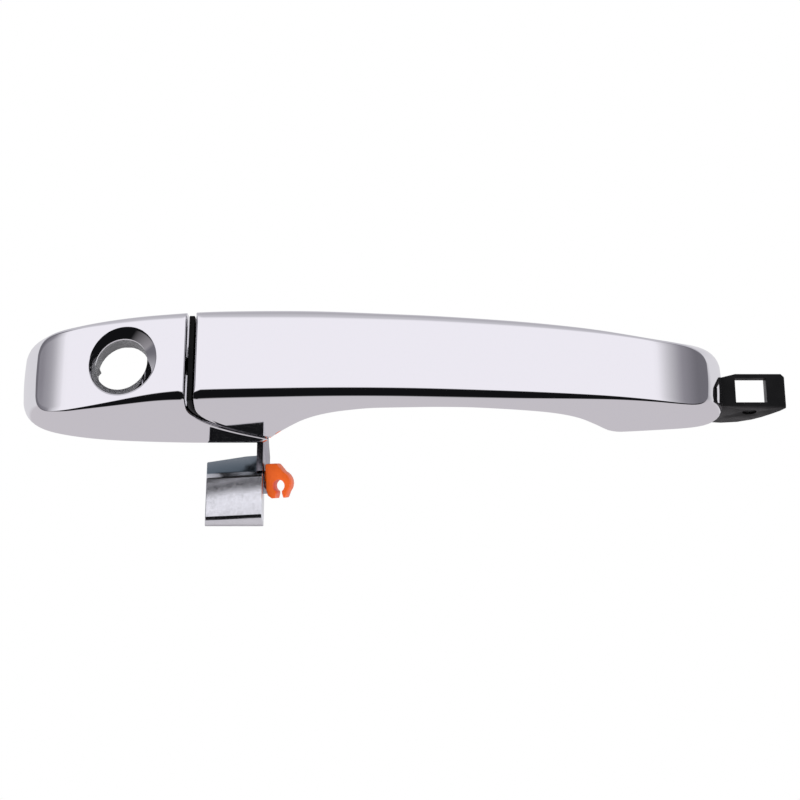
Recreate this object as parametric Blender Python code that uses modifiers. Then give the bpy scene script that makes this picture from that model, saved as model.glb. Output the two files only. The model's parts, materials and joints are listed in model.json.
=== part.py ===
"""Exterior pull handle of a car door: key-end cap, chromed grip, hinge arm, bellcrank and rod clip.

Frame: +X along the handle from the key end to the hinge arm, -Y away from the car, +Z up.
Y = 0 is the skin of the door. Every length below is in millimetres and every angle in degrees;
the helpers turn them into metres.
"""
import bisect
import math

import bmesh
import bpy
from mathutils import Matrix, Vector

MM = 0.001
GAP = 0.3                      # air between two pieces that touch

# ---- driving dimensions of the outside shape -------------------------------------------------
KEY_END_X = -55.6              # left end of the cap, at the skin
GRIP_END_X = 196.0             # right end of the chrome, at the skin
KEY_FACE_X = -47.2             # left end of the front face
GRIP_FACE_X = 188.2            # right end of the front face
KEY_TURN_X = -34.0             # where the rounding of the key end starts
GRIP_TURN_X = 172.0            # where the rounding of the hinge end starts
SEAT_Y = -1.3                  # rear rim of both chrome shells
SHELL = 2.2                    # wall of the chrome shells
SEAM_X = 7.8                   # seam between cap and grip, on the front face
SEAM_Y = -27.7                 # depth where the seam starts to lean
SEAM_SWEEP = 37.1              # how far the seam leans along X on its way to the skin
SEAM_GAP = 3.2
SEAM_ROUND = 1.1               # rounding of both edges of the seam
BELLY = 1.0                    # how far the flank of the rounded ends bulges

BLUR = 6.0                     # the outside curves are averaged over this much of X


def curve(points, blur=BLUR):
    """A smooth function through (x, value) points with no overshoot, averaged over a blur's width."""
    xs = [p[0] for p in points]
    ys = [p[1] for p in points]
    steps = [b - a for a, b in zip(xs, xs[1:])]
    slopes = [(b - a) / h for a, b, h in zip(ys, ys[1:], steps)]
    bends = [slopes[0]]
    for before, after in zip(slopes, slopes[1:]):
        bends.append(2 * before * after / (before + after) if before * after > 0 else 0.0)
    bends.append(slopes[-1])

    def exact(x):
        if x <= xs[0]:
            return ys[0] + bends[0] * (x - xs[0])
        if x >= xs[-1]:
            return ys[-1] + bends[-1] * (x - xs[-1])
        i = bisect.bisect_right(xs, x) - 1
        h = steps[i]
        t = (x - xs[i]) / h
        return (ys[i] * (1 + 2 * t) * (1 - t) ** 2 + h * bends[i] * t * (1 - t) ** 2
                + ys[i + 1] * t * t * (3 - 2 * t) + h * bends[i + 1] * t * t * (t - 1))

    if not blur:
        return exact
    weights = [(-1.0, 1), (-0.5, 2), (0.0, 3), (0.5, 2), (1.0, 1)]
    return lambda x: sum(w * exact(x + d * blur) for d, w in weights) / 9


FACE_DEPTH = curve([(-55, -15.5), (-44, -20.2), (-32, -25.1), (-18, -29.2), (-3, -33.0), (11, -35.4),
                    (45, -36.0), (80, -35.0), (115, -31.8), (143, -27.4), (165, -22.3),
                    (180, -17.3), (196, -10.0)])
FACE_TOP = curve([(-55, 13.2), (-32, 13.9), (-10, 14.0), (15, 13.3), (80, 12.8), (115, 12.2),
                  (150, 11.6), (172, 11.0), (196, 10.8)])
FACE_BOTTOM = curve([(-55, -15.6), (-32, -15.0), (-18, -13.5), (0, -11.5), (40, -10.8), (80, -10.4),
                     (150, -10.4), (172, -10.6), (196, -10.6)])
REAR_TOP = curve([(-55, 19.3), (-44, 20.0), (-32, 20.3), (-10, 20.8), (20, 21.6), (60, 21.0),
                  (115, 19.0), (172, 18.2), (196, 17.6)])
REAR_BOTTOM = curve([(-55, -14.8), (-44, -16.3), (-32, -18.2), (-18, -19.3), (10, -20.0),
                     (35, -19.9), (55, -18.6), (80, -17.3), (115, -16.6), (143, -16.2),
                     (157, -15.9), (172, -15.1), (196, -13.6)])
EDGE_TOP = curve([(-55, 0.6), (-44, 0.8), (-32, 1.8), (-18, 2.8), (0, 3.1), (20, 4.2), (45, 4.5),
                  (80, 3.7), (115, 3.4), (143, 2.6), (160, 1.6), (172, 1.0), (196, 0.7)])
EDGE_BOTTOM = curve([(-55, 0.6), (-44, 0.6), (-32, 1.0), (-18, 2.2), (0, 3.7), (10, 4.3), (80, 4.3),
                     (115, 3.6), (143, 2.2), (165, 1.0), (180, 0.6), (196, 0.6)])
SCOOP = curve([(20, -1.3), (31, -1.3), (32.5, -2.6), (34.1, -5.2), (40.1, -12.4), (46.8, -18.6),
               (53, -22.0), (60, -24.2), (72, -25.9), (88, -26.0), (100, -25.3), (115, -22.8),
               (129, -19.2), (136, -16.6), (143, -12.8), (150, -6.8), (155, -2.4), (159, -1.3),
               (200, -1.3)], 0.0)

# squareness of the rounded ends: face top, face bottom, rear top, rear bottom
KEY_SQUARE = {"face": (4.2, 4.5), "rear": (4.4, 3.6)}
GRIP_SQUARE = {"face": (4.0, 5.0), "rear": (3.6, 4.6)}

# ---- key opening -----------------------------------------------------------------------------
LOCK_X, LOCK_Z = -16.1, 0.4
LOCK_LEAN = -0.27              # slope of the face there, dy/dx
LOCK_MOUTH_R = 11.9            # on the face
LOCK_BORE_R = 9.4
LOCK_FUNNEL = 3.1              # depth of the funnel
LOCK_SHIFT = -0.9              # the bore sits nearer the key end than the mouth
COLLAR_R = 13.6
COLLAR_DEPTH = 9.0
RING_DEPTH = (4.3, 11.0)
RING_R = 11.3
TOOTH = [(-0.8, -1.6), (1.1, 0.5), (-0.8, 2.6)]    # x, z from the bore's left side

# ---- strip in the seam -----------------------------------------------------------------------
BUFFER_Y = (-32.0, -16.0)
BUFFER_INSET = 1.0             # below the flanks
BUFFER_PLAY = (0.6, 0.7)       # to the cap's end wall and to the grip

# ---- base housing ----------------------------------------------------------------------------
PLATE_Y = (-4.6, SEAT_Y)       # plate that closes the back of the cap
NECK = {"x": (-33.5, -4.0), "y": (-2.0, 2.5), "z": (-9.6, 16.0)}
STEP = {"x": (2.6, 20.0), "y": (-2.0, 3.4), "z": (-6.6, 16.0)}
SIDE = {"x": (19.0, 35.6), "y": (0.4, 3.4), "z": (-6.6, 16.0)}
BAY_Y = (-6.0, 4.0)
BAY_OUTLINE = [(-30.5, -8.0), (-6.0, -8.0), (-6.0, 16.6), (-24.5, 16.6), (-30.5, 12.0)]
LEG_SLOT = {"x": (18.5, 28.6), "y": (-6.0, 5.0), "z": (5.0, 16.6)}
SPRING_REST = {"x": (5.5, 12.0), "y": (3.0, 7.6), "z": (5.3, 8.0)}
BOSS_X, BOSS_Z, BOSS_R, BOSS_END = -40.0, -3.5, 6.0, 14.0
INSERT_R, INSERT_BORE_R = 3.9, 2.5
CAP_SCREWS = [(-39.0, 9.5), (-1.0, 5.5), (0.3, -11.0)]
POST_R = 2.8

# ---- bellcrank -------------------------------------------------------------------------------
LEVER_AT = (20.0, 17.0, -1.0)  # centre of the pivot pin
LEVER_YAW = -9.5               # the pin is turned this much from X
LUG_X = ((-14.4, -11.9), (11.4, 14.4))
LUG_R = 5.2
PIN_R = 2.5
TUBE_R = (2.6, 4.1)
TUBE_X = (-11.6, 11.0)
LEVER_PLATE_X = (7.5, 9.85)
LEVER_TILT = 27.0              # lean of the finger at rest
LEVER_ROOT = 5.2               # half the arm's width at the pin
LEVER_EYE_R = 6.2
FINGER_R = 22.0                # pin to the middle of the finger
FINGER_X = (-3.6, LEVER_PLATE_X[1])
FINGER_SIZE = (2.35, 5.0)      # thickness, width
SLEEVE_WALL = 0.9
WEIGHT_OUTLINE = [(1.0, -40.4), (2.0, -41.5), (13.0, -41.5), (13.0, -14.3), (11.0, -14.3),
                  (2.0, -23.3), (1.0, -25.6)]
PLATE_OUTLINE = [(3.9, -29.0), (12.2, -29.0), (12.2, -15.0), (6.4, -2.0), (-6.0, -1.0),
                 (-4.6, -7.0), (1.0, -12.0), (1.0, -23.6), (3.9, -23.6)]
WEIGHT_SPAN = (-14.0, 13.0)    # along the pin, before its ends are cut
WEIGHT_PLAN = [(9.9, 12.0), (29.9, 12.0), (29.9, 27.7), (8.3, 27.7)]
WEIGHT_POCKET = {"y": (3.5, 16.0), "z": (-29.3, -10.0)}
WEIGHT_STEP_Z = -23.9          # above it the plate's front edge shows

# ---- rod clip --------------------------------------------------------------------------------
CLIP_STEM = (7.0, -24.0)       # y, z of the stem in the bellcrank's frame
CLIP_TILT = 18.0               # the clip is turned this much on its stem at rest
CLIP_STEM_R = 2.2
CLIP_DEPTH = (-4.0, 4.0)
CLIP_BORE = (15.1, -3.6)       # x, z from the stem
CLIP_BORE_R = 2.3
CLIP_SLOT = 1.2                # half its width
CLIP_BACK = [(17.2, -8.1), (12.3, -8.1), (10.9, -7.0), (10.4, -5.0), (10.4, 4.1), (10.9, 4.6),
             (14.6, 4.6)]
CLIP_HOOK = {"centre": (14.7, -2.6), "radius": 4.7, "from": 62.0, "to": -42.0}

# ---- grip carrier and hinge arm --------------------------------------------------------------
LEG = {"x": (22.0, 26.3), "y": (-29.0, 35.0), "z": (7.0, 12.0)}
CAP_WINDOW = {"x": (18.0, 30.5), "y": (-17.0, 0.5), "z": (5.5, 15.0)}
COVER_WINDOW = {"x": (20.0, 29.0), "y": (-20.0, 2.0), "z": (6.2, 12.8)}
NOSE = {"x": (19.5, 26.3), "y": (31.2, 35.0), "z": (7.0, 21.0)}
CARRIER_DEPTH = 5.5
CARRIER_X = (14.5, 184.0)
ARM_Z = (-4.9, 7.4)            # bottom and top of the hinge arm
ARM_PLATE_Y = (1.5, 4.1)
SHELF_THICK = 1.4
SHELF = [(174.0, -11.0), (187.0, -6.5), (188.6, -0.9), (195.8, -0.9), (196.2, 1.5), (219.3, 1.5),
         (219.7, 3.7), (218.0, 7.0), (215.6, 10.1), (212.6, 13.6), (209.4, 16.4), (204.4, 19.0),
         (198.6, 19.9), (191.9, 18.8), (184.0, 12.0), (174.0, -2.0)]
ARM_PLATE = [(193.0, -4.9), (219.3, -4.9), (219.3, 6.2), (218.1, 7.4), (201.6, 7.4), (195.8, 5.9),
             (193.0, 3.0)]
ARM_DIMPLE = (207.2, 8.1, 2.6, 0.6)    # x, y, radius, depth
WINDOW = {"x": (201.4, 212.6), "y": (0.0, 5.0), "z": (-3.5, 5.9)}
BEAM_END = {"x": (174.0, 181.0), "y": (-14.0, -2.0), "z": (-4.9, 2.6)}
SHOULDER = {"x": (176.0, 187.5), "y": (-4.6, 4.1), "z": (-5.8, 3.0)}
ARM_ROOT = {"x": (186.0, 196.2), "y": (-0.9, 4.1), "z": (-4.9, 3.0)}
HINGE_BAR = {"x": (212.6, 218.9), "y": (2.5, 6.5), "z": (-4.4, 6.8)}
ARM_RIB = {"x": (196.5, 200.6), "y": (3.0, 13.0), "z": (-4.4, 5.4)}
COVER_WALL = 2.2
COVER_INSET = 2.8
COVER_DROP = 0.7               # below the chrome's rear rim
COVER_X = (36.2, 186.0)
GRIP_SCREWS = (68.0, 92.0, 118.0)
ARM_PASSAGE = {"x": (170.0, 200.0), "y": (-10.0, 2.0), "z": (-7.0, 4.2)}
PAD_PASSAGE = {"x": (168.0, 205.0), "y": (-3.0, 3.0), "z": (-7.4, 4.6)}
PAD_THICK = 1.0
PAD_INSET = 1.9                # of the gasket and the pad, from the chrome's rear rim

# ---- screws ----------------------------------------------------------------------------------
SCREW_HEAD_R, SCREW_HEAD_THICK = 2.5, 1.1
SCREW_SHANK_R = 1.0
SCREW_CROSS = (1.3, 0.3, 0.6)  # half its length, half its width, depth
PILOT_R = 1.3                  # hole in the cap's posts
HOLE_R = 1.4                   # for the shank
HEAD_HOLE_R = 2.9

# ---- return spring ---------------------------------------------------------------------------
SPRING_WIRE_R = 0.6
SPRING_MEAN_R = 5.3
SPRING_TURNS = 4.25
SPRING_PITCH = 1.75
SPRING_START_X = -10.2         # along the pin
SPRING_STEPS = 14              # straight pieces in a turn


# ---- curves ----------------------------------------------------------------------------------
def seam_x(y):
    """X of the seam's middle at a depth."""
    return SEAM_X + SEAM_SWEEP * (max(y - SEAM_Y, 0.0) / -SEAM_Y) ** 2


def seam_slope(y):
    return 2 * SEAM_SWEEP * max(y - SEAM_Y, 0.0) / SEAM_Y ** 2


class Side:
    """The cap or the grip: which way it runs from its rounded end to the seam."""

    def __init__(self, name):
        self.is_cap = name == "cap"
        self.sign = 1 if self.is_cap else -1
        self.turn = KEY_TURN_X if self.is_cap else GRIP_TURN_X
        self.face_end = KEY_FACE_X if self.is_cap else GRIP_FACE_X
        self.rear_end = KEY_END_X if self.is_cap else GRIP_END_X
        self.square = KEY_SQUARE if self.is_cap else GRIP_SQUARE

    def seam(self, y, inset=0.0):
        """X of this side's end wall at a depth, moved into the material by inset."""
        lean = math.hypot(1.0, seam_slope(y))
        return seam_x(y) - self.sign * (SEAM_GAP / 2 + inset * lean)

    def height(self, x0, u, where):
        """Bottom and top of the face or of the rear rim, at x0, a share u into the rounded end."""
        top = (FACE_TOP if where == "face" else REAR_TOP)(x0)
        bottom = (FACE_BOTTOM if where == "face" else REAR_BOTTOM)(x0)
        middle = (top + bottom) / 2
        n_top, n_bottom = self.square[where]
        top = middle + (top - middle) * (1 - u ** n_top) ** (1 / n_top)
        bottom = middle + (bottom - middle) * (1 - u ** n_bottom) ** (1 / n_bottom)
        return bottom, top

    def end_x(self, u, where):
        reach = (self.face_end if where == "face" else self.rear_end) - self.turn
        return self.turn + reach * u


class Cup:
    """Grid and rings of one skin of a shell: the outer one, or the inner one when inset > 0.

    The face is a grid of columns. Its border is ring 0, and each next ring lies deeper, round the
    edge and down the flank to the rear rim. The ring's seam side is the end wall.
    """

    END_U = 0.985
    SETTLE = 50
    DAMPING = 0.2

    def __init__(self, side, inset, turns, runs, rows, bends, flanks):
        self.side, self.inset, self.rows = side, inset, rows
        self.bends = 0 if inset else bends
        self.flanks = flanks
        self.columns = []
        for k in range(turns):
            u = self.END_U * math.cos(math.pi / 2 * k / turns)
            self.columns.append((side.end_x(u, "face"), side.end_x(u, "rear"), u))
        for k in range(runs + 1):
            x = side.turn + (SEAM_X - side.turn) * k / runs
            self.columns.append((x, x, 0.0))
        self.last = len(self.columns) - 1

    def section(self, x_face, x_rear, u, share):
        """Face point, rear point and edge radius at a share of the way from bottom to top."""
        low, high = self.side.height(x_face, u, "face")
        rear_low, rear_high = self.side.height(x_rear, u, "rear")
        radius = EDGE_BOTTOM(x_face) * (1 - share) + EDGE_TOP(x_face) * share
        face = Vector((x_face, low + (high - low) * share))
        rear = Vector((x_rear, rear_low + (rear_high - rear_low) * share))
        return face, rear, radius

    def profile(self, face, rear, radius, u, level):
        """Depth below the face and reach outwards at a level: a rounded edge, then the flank."""
        y_face = FACE_DEPTH(face.x)
        full = SEAT_Y - y_face
        depth = SCOOP(rear.x) - y_face
        gap = rear - face
        slope = (gap.length - radius) / full
        belly = BELLY * u * u
        if level <= self.bends and not self.inset:
            tilt = max((FACE_DEPTH(face.x + 0.5) - FACE_DEPTH(face.x - 0.5)) * gap.x / gap.length, 0.0)
            steep = slope + 4 * belly / (full - radius)
            corner = radius * (1 + slope - steep) / (1 - steep * tilt)
            bend = level / self.bends
            down = 2 * bend * (1 - bend) * tilt * corner + bend ** 2 * radius
            return down, 2 * bend * (1 - bend) * corner + bend ** 2 * radius * (1 + slope)
        start = self.inset or radius
        down = start + (depth - start) * (level - self.bends) / self.flanks
        share = max(down - radius, 0.0) / (full - radius)
        return down, radius + slope * down + 4 * belly * share * (1 - share) - self.inset

    def place(self, i, j, level):
        """A point of ring `level` at border spot (i, j)."""
        side, share = self.side, j / self.rows
        x_face, x_rear, u = self.columns[i]
        stretch = max((x_face - side.turn) / (SEAM_X - side.turn), 0.0)
        shift = 0.0
        for _ in range(self.SETTLE if stretch else 1):
            face, rear, radius = self.section(x_face + shift, x_rear + shift, u, share)
            if i == 0:
                bulge = math.sin(math.pi * share) * (1 - self.END_U)
                face.x += bulge * (side.face_end - side.turn)
                rear.x += bulge * (side.rear_end - side.turn)
            down, reach = self.profile(face, rear, radius, u, level)
            y = FACE_DEPTH(face.x) + down
            lift = 0.0
            if down < SEAM_ROUND and not self.inset:
                lift = SEAM_ROUND - math.sqrt(SEAM_ROUND ** 2 - (SEAM_ROUND - down) ** 2)
            target = side.seam(y, self.inset + lift) - SEAM_X
            shift += self.DAMPING * (stretch * target - shift)
        if i == self.last and 0 < j < self.rows:
            low = self.place(i, 0, level)[2]
            high = self.place(i, self.rows, level)[2]
            return (face.x, y, low + (high - low) * share)
        spot = face + (rear - face).normalized() * reach
        return (spot.x, y, spot.y)

    def border(self):
        """The ring's spots in order, as (column, row)."""
        spots = [(i, 0) for i in range(self.last + 1)]
        spots += [(self.last, j) for j in range(1, self.rows + 1)]
        spots += [(i, self.rows) for i in range(self.last - 1, -1, -1)]
        return spots + [(0, j) for j in range(self.rows - 1, 0, -1)]

    def build(self, bm):
        """Adds the skin's faces and returns its rim."""
        border = self.border()
        ring = {spot: bm.verts.new(self.place(*spot, 0)) for spot in border}
        grid = dict(ring)
        for i in range(self.last + 1):
            low, high = ring[i, 0].co, ring[i, self.rows].co
            for j in range(1, self.rows):
                if (i, j) not in grid:
                    spot = low.lerp(high, j / self.rows)
                    grid[i, j] = bm.verts.new((spot.x, FACE_DEPTH(spot.x) + self.inset, spot.z))
        for i in range(self.last):
            for j in range(self.rows):
                bm.faces.new([grid[i, j], grid[i + 1, j], grid[i + 1, j + 1], grid[i, j + 1]])
        rim = [ring[spot] for spot in border]
        for level in range(1, self.bends + self.flanks + 1):
            deeper = [bm.verts.new(self.place(*spot, level)) for spot in border]
            for k in range(len(rim)):
                n = (k + 1) % len(rim)
                bm.faces.new([rim[k], rim[n], deeper[n], deeper[k]])
            rim = deeper
        return rim


# ---- helpers ---------------------------------------------------------------------------------
PARTS = CUTTERS = None


def start():
    """Empty the scene and make the two collections."""
    global PARTS, CUTTERS
    for old in list(bpy.data.objects):
        bpy.data.objects.remove(old, do_unlink=True)
    PARTS = bpy.data.collections.new("car_door_handle")
    CUTTERS = bpy.data.collections.new("cutters")
    bpy.context.scene.collection.children.link(PARTS)
    bpy.context.scene.collection.children.link(CUTTERS)


def material(name, colour, roughness, metallic=0.0):
    mat = bpy.data.materials.get(name) or bpy.data.materials.new(name)
    mat.use_nodes = True
    shader = mat.node_tree.nodes["Principled BSDF"]
    shader.inputs["Base Color"].default_value = (*colour, 1.0)
    shader.inputs["Roughness"].default_value = roughness
    shader.inputs["Metallic"].default_value = metallic
    return mat


def chrome():
    return material("chrome", (0.86, 0.86, 0.88), 0.05, 1.0)


def black_nylon():
    return material("black_nylon", (0.018, 0.018, 0.020), 0.42)


def zinc():
    return material("zinc_steel", (0.72, 0.76, 0.82), 0.35, 1.0)


def steel():
    return material("steel", (0.55, 0.56, 0.58), 0.3, 1.0)


def rubber():
    return material("rubber", (0.02, 0.02, 0.02), 0.85)


def new_object(name, mesh, mat=None, parent=None):
    """Link a mesh as a part, or as a cutter when it has no material."""
    obj = bpy.data.objects.new(name, mesh)
    (PARTS if mat else CUTTERS).objects.link(obj)
    if mat:
        mesh.materials.append(mat)
    else:
        obj.hide_render = True
        obj.display_type = "WIRE"
    if parent:
        obj.parent = parent
    return obj


def mesh_from(bm, name):
    bmesh.ops.scale(bm, vec=(MM, MM, MM), verts=bm.verts)
    mesh = bpy.data.meshes.new(name)
    bm.to_mesh(mesh)
    bm.free()
    return mesh


def box_mesh(x, y, z):
    bm = bmesh.new()
    bmesh.ops.create_cube(bm, size=1.0)
    size = Vector((x[1] - x[0], y[1] - y[0], z[1] - z[0]))
    middle = Vector((x[0] + x[1], y[0] + y[1], z[0] + z[1])) / 2
    bmesh.ops.scale(bm, vec=size, verts=bm.verts)
    bmesh.ops.translate(bm, vec=middle, verts=bm.verts)
    return mesh_from(bm, "box")


def block_mesh(block):
    """A box from a table of its spans."""
    return box_mesh(block["x"], block["y"], block["z"])


def rod_mesh(axis, start_at, end_at, centre, radius, radius_end=None, sides=24):
    """A cylinder or cone along an axis, from one coordinate to another, round a centre point."""
    bm = bmesh.new()
    length = end_at - start_at
    bmesh.ops.create_cone(bm, cap_ends=True, segments=sides, radius1=radius,
                          radius2=radius if radius_end is None else radius_end, depth=length)
    turn = {"X": Matrix.Rotation(math.pi / 2, 4, "Y"), "Y": Matrix.Rotation(-math.pi / 2, 4, "X"),
            "Z": Matrix.Identity(4)}[axis]
    bmesh.ops.transform(bm, matrix=turn, verts=bm.verts)
    middle = Vector(centre)
    middle["XYZ".index(axis)] = (start_at + end_at) / 2
    bmesh.ops.translate(bm, vec=middle, verts=bm.verts)
    return mesh_from(bm, "rod")


def outline_mesh(points, axis, span):
    """An outline pulled along an axis. The outline's points are the other two axes, in order."""
    bm = bmesh.new()
    place = {"X": lambda a, b, c: (c, a, b), "Y": lambda a, b, c: (a, c, b),
             "Z": lambda a, b, c: (a, b, c)}[axis]
    face = bm.faces.new([bm.verts.new(place(a, b, span[0])) for a, b in points])
    pulled = bmesh.ops.extrude_face_region(bm, geom=[face])["geom"]
    moved = [v for v in pulled if isinstance(v, bmesh.types.BMVert)]
    shift = Vector((0, 0, 0))
    shift["XYZ".index(axis)] = span[1] - span[0]
    bmesh.ops.translate(bm, vec=shift, verts=moved)
    bmesh.ops.recalc_face_normals(bm, faces=bm.faces)
    return mesh_from(bm, "outline")


def boolean(target, mesh, operation, parent=None):
    """Cut a mesh from an object, or join it on."""
    tool = new_object(f"{target.name}_{operation.lower()}_{len(target.modifiers)}", mesh, None, parent)
    step = target.modifiers.new(operation.lower(), "BOOLEAN")
    step.operation = operation
    step.solver = "EXACT"
    step.object = tool
    return tool


def cut(target, mesh, parent=None):
    return boolean(target, mesh, "DIFFERENCE", parent)


def join(target, mesh, parent=None):
    return boolean(target, mesh, "UNION", parent)


def soften(obj, width, angle=40.0, segments=2):
    """Round an object's edges."""
    edge = obj.modifiers.new("edges", "BEVEL")
    edge.width = width * MM
    edge.segments = segments
    edge.limit_method = "ANGLE"
    edge.angle_limit = math.radians(angle)


def smooth(obj, angle=35.0):
    obj.data.shade_smooth()
    obj.data.set_sharp_from_angle(angle=math.radians(angle))


def cup_mesh(side, wall, turns, runs, rows, bends, flanks):
    """A closed shell: the outer skin, the inner skin and the rim between them."""
    bm = bmesh.new()
    outer, inner = [Cup(side, inset, turns, runs, rows, bends, flanks).build(bm) for inset in (0.0, wall)]
    for k in range(len(outer)):
        n = (k + 1) % len(outer)
        bm.faces.new([outer[k], outer[n], inner[n], inner[k]])
    bmesh.ops.recalc_face_normals(bm, faces=bm.faces)
    return mesh_from(bm, "shell")


def band_mesh(points_at, spots):
    """A solid through four-cornered sections: points_at(spot) gives a section's corners."""
    bm = bmesh.new()
    sections = [[bm.verts.new(corner) for corner in points_at(spot)] for spot in spots]
    for here, there in zip(sections, sections[1:]):
        for k in range(len(here)):
            n = (k + 1) % len(here)
            bm.faces.new([here[k], here[n], there[n], there[k]])
    bm.faces.new(sections[0])
    bm.faces.new(sections[-1])
    bmesh.ops.recalc_face_normals(bm, faces=bm.faces)
    return mesh_from(bm, "band")


def flank_z(x, y, top):
    """Z of the outer flank at a depth."""
    depth = (y - FACE_DEPTH(x)) / (SEAT_Y - FACE_DEPTH(x))
    face = (FACE_TOP if top else FACE_BOTTOM)(x)
    rear = (REAR_TOP if top else REAR_BOTTOM)(x)
    radius = (EDGE_TOP if top else EDGE_BOTTOM)(x) * (1 if top else -1)
    return face + radius + (rear - face - radius) * depth


def rear_outline(side, inset, until):
    """Outline of the rear rim in (x, z), moved inwards, from the rounded end to x = until."""
    low, high = [], []
    for k in range(9):
        u = math.cos(math.pi / 2 * k / 8)
        x = side.turn + (side.rear_end - side.sign * -inset - side.turn) * u
        bottom, top = side.height(x, u * 0.999, "rear")
        low.append((x, bottom + inset))
        high.append((x, top - inset))
    for k in range(1, 7):
        x = side.turn + (until - side.turn) * k / 6
        bottom, top = side.height(x, 0.0, "rear")
        low.append((x, bottom + inset))
        high.append((x, top - inset))
    low = [p for p in low if p[1] < 0]
    high = [p for p in high if p[1] > 0]
    return low + high[::-1]


def lean_to_face(mesh):
    """Shear a mesh so that planes across Y follow the face round the key opening."""
    for v in mesh.vertices:
        v.co.y += (v.co.x - LOCK_X * MM) * LOCK_LEAN
    return mesh


# ---- root body: what is fixed to the door ----------------------------------------------------
def key_cap():
    side = Side("cap")
    cap = new_object("key_cap", cup_mesh(side, SHELL, 5, 8, 6, 3, 7), chrome())
    face = FACE_DEPTH(LOCK_X)
    bore = (LOCK_X + LOCK_SHIFT, 0, LOCK_Z)
    join(cap, lean_to_face(rod_mesh("Y", face + 1.0, face + COLLAR_DEPTH, bore, COLLAR_R, sides=36)))
    for x, z in CAP_SCREWS:
        top = FACE_DEPTH(x) + 2.0
        join(cap, rod_mesh("Y", top, PLATE_Y[0] - GAP, (x, 0, z), POST_R, sides=12))
        cut(cap, rod_mesh("Y", PLATE_Y[0] - 9.0, 1.0, (x, 0, z), PILOT_R, sides=8))
    steep = (LOCK_MOUTH_R - LOCK_BORE_R) / LOCK_FUNNEL
    mouth = rod_mesh("Y", face - 2.0, face + LOCK_FUNNEL, (LOCK_X, 0, LOCK_Z),
                     LOCK_MOUTH_R + 2.0 * steep, LOCK_BORE_R, sides=36)
    cut(cap, lean_to_face(mouth))
    cut(cap, lean_to_face(rod_mesh("Y", face + 2.0, face + 12.0, bore, LOCK_BORE_R, sides=36)))
    cut(cap, lean_to_face(rod_mesh("Y", face + RING_DEPTH[0] - GAP, face + 12.0, bore,
                                   RING_R + GAP, sides=36)))
    cut(cap, block_mesh(CAP_WINDOW))
    smooth(cap)


def seam_buffer():
    """Dark strip that closes the seam a little below its edges, fixed to the cap's end wall."""
    def section(y):
        lean = math.hypot(1.0, seam_slope(y))
        left = seam_x(y) - SEAM_GAP / 2 + BUFFER_PLAY[0] * lean
        right = seam_x(y) + SEAM_GAP / 2 - BUFFER_PLAY[1] * lean
        middle = (left + right) / 2
        low = flank_z(middle, y, False) + BUFFER_INSET
        high = flank_z(middle, y, True) - BUFFER_INSET
        return [(left, y, low), (right, y, low), (right, y, high), (left, y, high)]

    first, last = BUFFER_Y
    spots = [first + (last - first) * k / 8 for k in range(9)]
    new_object("seam_buffer", band_mesh(section, spots), black_nylon())


def lock_ring():
    """Guide ring behind the funnel, with the tooth that lines up the lock."""
    face = FACE_DEPTH(LOCK_X)
    x, z = LOCK_X + LOCK_SHIFT, LOCK_Z
    grey = material("grey_nylon", (0.24, 0.24, 0.25), 0.5)
    body = rod_mesh("Y", face + RING_DEPTH[0], face + RING_DEPTH[1], (x, 0, z), RING_R, sides=36)
    ring = new_object("lock_guide_ring", lean_to_face(body), grey)
    cut(ring, lean_to_face(rod_mesh("Y", face, face + 15.0, (x, 0, z), LOCK_BORE_R, sides=36)))
    left = x - LOCK_BORE_R
    tooth = outline_mesh([(left + a, z + b) for a, b in TOOTH], "Y",
                         (face + RING_DEPTH[0] + 0.6, face + RING_DEPTH[1] - 0.2))
    join(ring, lean_to_face(tooth))
    smooth(ring)


def lug_mesh(span):
    """A lug with a round end on the pin, rooted in the base."""
    yaw = math.radians(LEVER_YAW)
    middle = (span[0] + span[1]) / 2
    root = (SIDE["y"][0] + 1.2 - LEVER_AT[1] - middle * math.sin(yaw)) / math.cos(yaw)
    arc = [math.pi * (k / 12 - 0.5) for k in range(13)]
    outline = [(root, -LUG_R)] + [(LUG_R * math.cos(a), LUG_R * math.sin(a)) for a in arc]
    return outline_mesh(outline + [(root, LUG_R)], "X", span)


def base_housing():
    """Plate behind the cap, neck through the skin, boss for the door's bolt and two lever lugs."""
    side = Side("cap")
    inset = SHELL + 0.9
    right_end = side.seam(PLATE_Y[0], SHELL) - GAP - 0.4
    plate = outline_mesh(rear_outline(side, inset, right_end), "Y", PLATE_Y)
    base = new_object("base_housing", plate, black_nylon())
    for block in (NECK, STEP, SIDE, SPRING_REST):
        join(base, block_mesh(block))
    join(base, rod_mesh("Y", PLATE_Y[0] + 1.0, BOSS_END, (BOSS_X, 0, BOSS_Z), BOSS_R))
    frame = lever_frame()
    for span in LUG_X:
        join(base, lug_mesh(span), frame)
        cut(base, rod_mesh("X", span[0] - 1, span[1] + 1, (0, 0, 0), PIN_R + GAP, sides=16), frame)
    cut(base, rod_mesh("Y", 2.0, BOSS_END + 1, (BOSS_X, 0, BOSS_Z), INSERT_R + GAP, sides=16))
    cut(base, outline_mesh(BAY_OUTLINE, "Y", BAY_Y))
    cut(base, block_mesh(LEG_SLOT))
    for x, z in CAP_SCREWS:
        cut(base, rod_mesh("Y", -6.0, 4.0, (x, 0, z), HOLE_R, sides=12))
        cut(base, rod_mesh("Y", PLATE_Y[1] - 1.2, 4.0, (x, 0, z), HEAD_HOLE_R, sides=16))
    smooth(base)


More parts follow.
